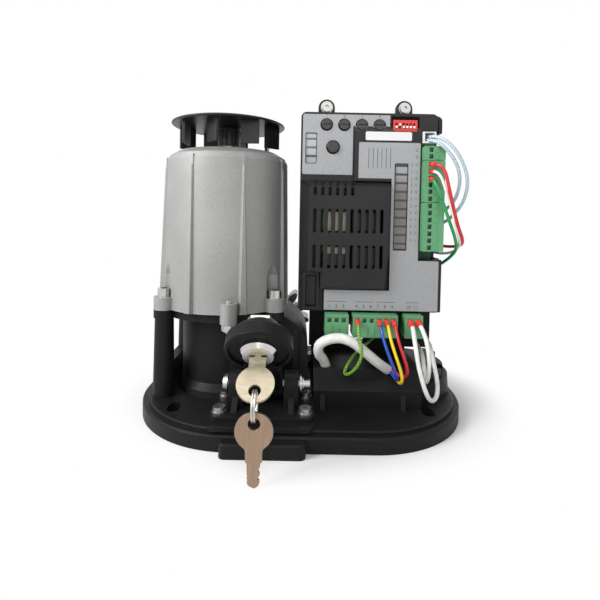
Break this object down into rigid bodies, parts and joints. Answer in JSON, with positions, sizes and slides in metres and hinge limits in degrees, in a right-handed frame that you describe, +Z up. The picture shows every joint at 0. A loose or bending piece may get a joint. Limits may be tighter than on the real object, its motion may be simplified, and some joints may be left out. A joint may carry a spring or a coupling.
{
  "type": "sliding gate motor",
  "caption": "Sliding gate motor with its cover off: upright motor, worm gearbox, rack pinion, keyed release lever and a wired control box on a cast base.",
  "frame": {"origin": "middle of the base's underside", "axes": "+Z up, the front with the release lever faces -Y, the control box is on the +X side"},
  "size_m": [0.236, 0.222, 0.2295],
  "materials": {
    "black_casting": "satin black powder coat over a cast surface",
    "cast_aluminium": "bare sand-cast aluminium, fine grain",
    "steel": "zinc-plated steel",
    "machined_steel": "turned steel",
    "copper_winding": "varnished copper and laminations",
    "fan_plastic": "black moulded plastic",
    "wheel_bronze": "machined bronze",
    "pinion_steel": "cut steel teeth, light oil",
    "lever_black": "black moulding, fine texture",
    "chrome": "polished",
    "zinc": "zinc die-casting",
    "key_nickel": "nickel-plated brass",
    "ring_steel": "bright spring steel",
    "key_brass": "brushed nickel-silver",
    "bracket_steel": "black painted sheet steel",
    "box_black": "black moulding",
    "cover_grey": "black moulding under a silver-grey label film",
    "window": "clear acrylic",
    "board_green": "solder-masked board",
    "relay_beige": "moulded case",
    "terminal_green": "moulded polyamide",
    "connector_white": "moulded nylon",
    "capacitor_white": "plastic can",
    "button_black": "smooth moulding",
    "switch_red": "moulded",
    "lever_white": "moulded",
    "wire_earth": "green insulation with a yellow stripe",
    "wire_blue": "smooth insulation",
    "wire_yellow": "smooth insulation",
    "wire_red": "smooth insulation",
    "wire_white": "smooth insulation",
    "wire_pale_blue": "white insulation with a blue stripe",
    "wire_green": "smooth insulation",
    "sleeve_white": "woven glass sleeve"
  },
  "bodies": {
    "base": {"base_casting": "black_casting", "gearbox_housing": "black_casting", "motor_housing": "cast_aluminium", "housing_screws": "steel", "pan_screws": "steel", "stator": "copper_winding", "bearings": "machined_steel", "lever_bracket": "black_casting", "control_bracket": "bracket_steel", "control_box": "box_black", "front_cover": "cover_grey", "vent_cover": "box_black", "light_windows": "window", "circuit_board": "board_green", "relays": "relay_beige", "power_terminals": "terminal_green", "signal_terminals": "terminal_green", "wire_connector": "connector_white", "run_capacitor": "capacitor_white", "box_screws": "steel", "dip_body": "switch_red", "earth_wire": "wire_earth", "blue_wire": "wire_blue", "yellow_wire": "wire_yellow", "red_wire": "wire_red", "sleeved_cable": "sleeve_white", "capacitor_wire_left": "wire_white", "capacitor_wire_right": "wire_white", "limit_wire_red": "wire_red", "limit_wire_white": "wire_white", "limit_wire_green": "wire_green", "sensor_wire_outer": "wire_pale_blue", "sensor_wire_inner": "wire_white"},
    "motor": {"motor_shaft": "machined_steel", "rotor": "machined_steel", "cooling_fan": "fan_plastic"},
    "output": {"worm_wheel": "wheel_bronze", "output_shaft": "machined_steel", "drive_pinion": "pinion_steel", "pinion_bolt": "steel"},
    "lever": {"release_lever": "lever_black", "pivot_pin": "steel", "lock_body": "chrome", "lock_nut": "zinc"},
    "key": {"lock_plug": "zinc", "key_in_lock": "key_nickel"},
    "ring": {"key_ring": "ring_steel"},
    "spare": {"spare_key": "key_brass"},
    "plunger": {"release_plunger": "steel"},
    "button": {"learn_button": "button_black"},
    "knob_1": {"knob_1": "button_black"},
    "knob_2": {"knob_2": "button_black"},
    "knob_3": {"knob_3": "button_black"},
    "knob_4": {"knob_4": "button_black"},
    "dip_lever_1": {"dip_lever_1": "lever_white"},
    "dip_lever_2": {"dip_lever_2": "lever_white"},
    "dip_lever_3": {"dip_lever_3": "lever_white"},
    "dip_lever_4": {"dip_lever_4": "lever_white"},
    "dip_lever_5": {"dip_lever_5": "lever_white"},
    "dip_lever_6": {"dip_lever_6": "lever_white"}
  },
  "joints": [
    {"name": "motor_spin", "type": "hinge", "parent": "base", "child": "motor", "pos_m": [-0.06, -0.006, 0.12], "axis": [0, 0, 1], "continuous": true},
    {"name": "output_spin", "type": "hinge", "parent": "base", "child": "output", "pos_m": [-0.025, 0, 0.044], "axis": [0, 1, 0], "continuous": true},
    {"name": "lever_pivot", "type": "hinge", "parent": "base", "child": "lever", "pos_m": [-0.025, -0.057, 0.03], "axis": [1, 0, 0], "range_deg": [-30, 0]},
    {"name": "key_turn", "type": "hinge", "parent": "lever", "child": "key", "pos_m": [-0.025, -0.104, 0.066], "axis": [0, -0.766, -0.6428], "range_deg": [0, 90]},
    {"name": "ring_swing", "type": "hinge", "parent": "key", "child": "ring", "pos_m": [-0.025, -0.12147, 0.05194], "axis": [1, 0, 0], "range_deg": [-20, 5]},
    {"name": "spare_key_swing", "type": "hinge", "parent": "ring", "child": "spare", "pos_m": [-0.025, -0.12147, 0.03634], "axis": [1, 0, 0], "range_deg": [-30, 15]},
    {"name": "plunger_slide", "type": "slide", "parent": "base", "child": "plunger", "axis": [0, 1, 0], "range_m": [0, 0.0046]},
    {"name": "button_press", "type": "slide", "parent": "base", "child": "button", "axis": [0, 1, 0], "range_m": [0, 0.001], "stiffness_N_per_m": 400, "springref_m": -0.0005},
    {"name": "knob_1_turn", "type": "hinge", "parent": "base", "child": "knob_1", "pos_m": [0.0148, -0.034, 0.2096], "axis": [0, 1, 0], "range_deg": [-135, 135]},
    {"name": "knob_2_turn", "type": "hinge", "parent": "base", "child": "knob_2", "pos_m": [0.0275, -0.034, 0.2096], "axis": [0, 1, 0], "range_deg": [-135, 135]},
    {"name": "knob_3_turn", "type": "hinge", "parent": "base", "child": "knob_3", "pos_m": [0.0402, -0.034, 0.2096], "axis": [0, 1, 0], "range_deg": [-135, 135]},
    {"name": "knob_4_turn", "type": "hinge", "parent": "base", "child": "knob_4", "pos_m": [0.0529, -0.034, 0.2096], "axis": [0, 1, 0], "range_deg": [-135, 135]},
    {"name": "dip_lever_1_slide", "type": "slide", "parent": "base", "child": "dip_lever_1", "axis": [0, 0, 1], "range_m": [0, 0.0017]},
    {"name": "dip_lever_2_slide", "type": "slide", "parent": "base", "child": "dip_lever_2", "axis": [0, 0, 1], "range_m": [-0.0017, 0]},
    {"name": "dip_lever_3_slide", "type": "slide", "parent": "base", "child": "dip_lever_3", "axis": [0, 0, 1], "range_m": [0, 0.0017]},
    {"name": "dip_lever_4_slide", "type": "slide", "parent": "base", "child": "dip_lever_4", "axis": [0, 0, 1], "range_m": [0, 0.0017]},
    {"name": "dip_lever_5_slide", "type": "slide", "parent": "base", "child": "dip_lever_5", "axis": [0, 0, 1], "range_m": [0, 0.0017]},
    {"name": "dip_lever_6_slide", "type": "slide", "parent": "base", "child": "dip_lever_6", "axis": [0, 0, 1], "range_m": [0, 0.0017]}
  ],
  "couplings": [
    {"joint": "output_spin", "follows": "motor_spin", "ratio": -0.03125},
    {"joint": "plunger_slide", "follows": "lever_pivot", "m_per_rad": -0.0086}
  ]
}
